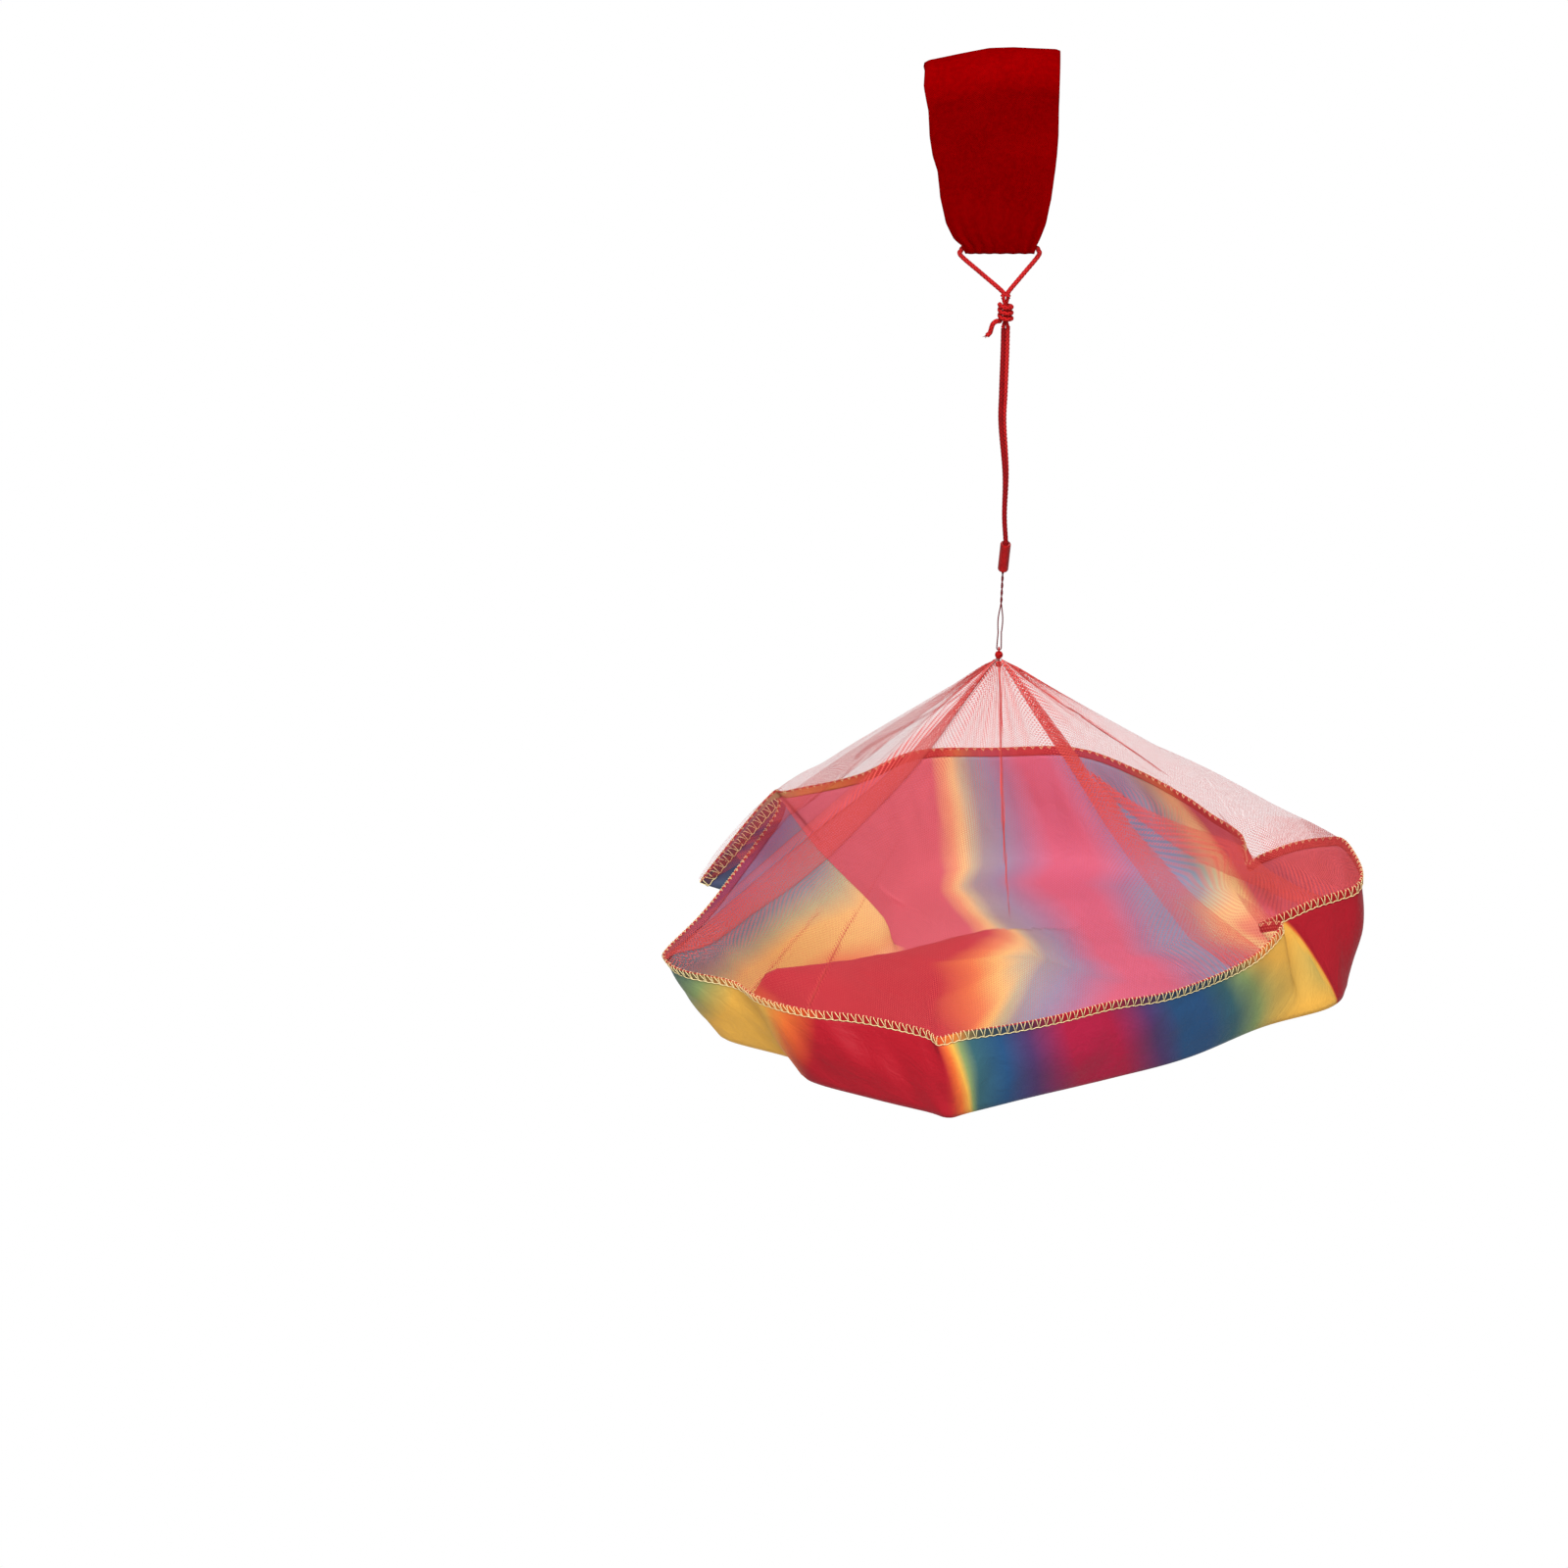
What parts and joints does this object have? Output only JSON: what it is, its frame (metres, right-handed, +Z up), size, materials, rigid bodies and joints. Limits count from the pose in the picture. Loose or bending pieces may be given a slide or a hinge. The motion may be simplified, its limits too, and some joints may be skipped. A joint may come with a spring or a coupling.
{
  "type": "toy_parachute",
  "caption": "Toy parachute: a striped satin bowl closed by a net cone, hung on a string, a sleeve and a doubled cord from a soft wrist band.",
  "frame": {"origin": "Middle of the rounded top of the wrist band, on the line where a wrist, hand or peg bears that holds the toy up.", "axes": "+Z is up, against gravity, as the toy hangs. +X runs along the band's hole, to the right of someone facing the front. +Y points away from that person."},
  "size_m": [0.3428, 0.3042, 0.5024],
  "materials": {
    "band_cloth": "dark red brushed cloth, matte",
    "cord_braid": "red braided cord",
    "cord_knot": "red cord drawn tight",
    "sleeve_plastic": "red plastic, half gloss",
    "thin_string": "dark red waxed thread",
    "canopy_net": "open coral-red net, sheer",
    "overlock_seam": "satin hem under pale yellow overlock stitches",
    "canopy_satin": "satin with rainbow stripes across, soft sheen"
  },
  "bodies": {
    "band": {"wrist_band": "band_cloth"},
    "lanyard": {"band_cord": "cord_braid", "knot_core": "cord_knot", "knot_winding": "cord_knot", "cord_strand_left": "cord_braid", "cord_strand_right": "cord_braid", "crimp_sleeve": "sleeve_plastic"},
    "string": {"string_loop": "thin_string", "string_end_knot": "thin_string"},
    "apex": {"apex_knot": "cord_knot", "stop_knot": "cord_knot"},
    "canopy": {"net_canopy": "canopy_net", "rim_seam": "overlock_seam", "satin_floor": "canopy_satin", "satin_wall": "canopy_satin"}
  },
  "joints": [
    {"name": "lanyard_swing", "type": "hinge", "parent": "band", "child": "lanyard", "pos_m": [0, 0, -0.0903], "axis": [1, 0, 0], "range_deg": [-90, 90]},
    {"name": "string_sway", "type": "hinge", "parent": "lanyard", "child": "string", "pos_m": [0.0019, 0, -0.26133], "axis": [0, 1, 0], "range_deg": [-45, 45]},
    {"name": "canopy_tilt", "type": "hinge", "parent": "string", "child": "apex", "pos_m": [0, 0, -0.30433], "axis": [1, 0, 0], "range_deg": [-60, 60]},
    {"name": "canopy_swivel", "type": "hinge", "parent": "apex", "child": "canopy", "pos_m": [0, 0, -0.30963], "axis": [0, 0, 1], "continuous": true}
  ]
}
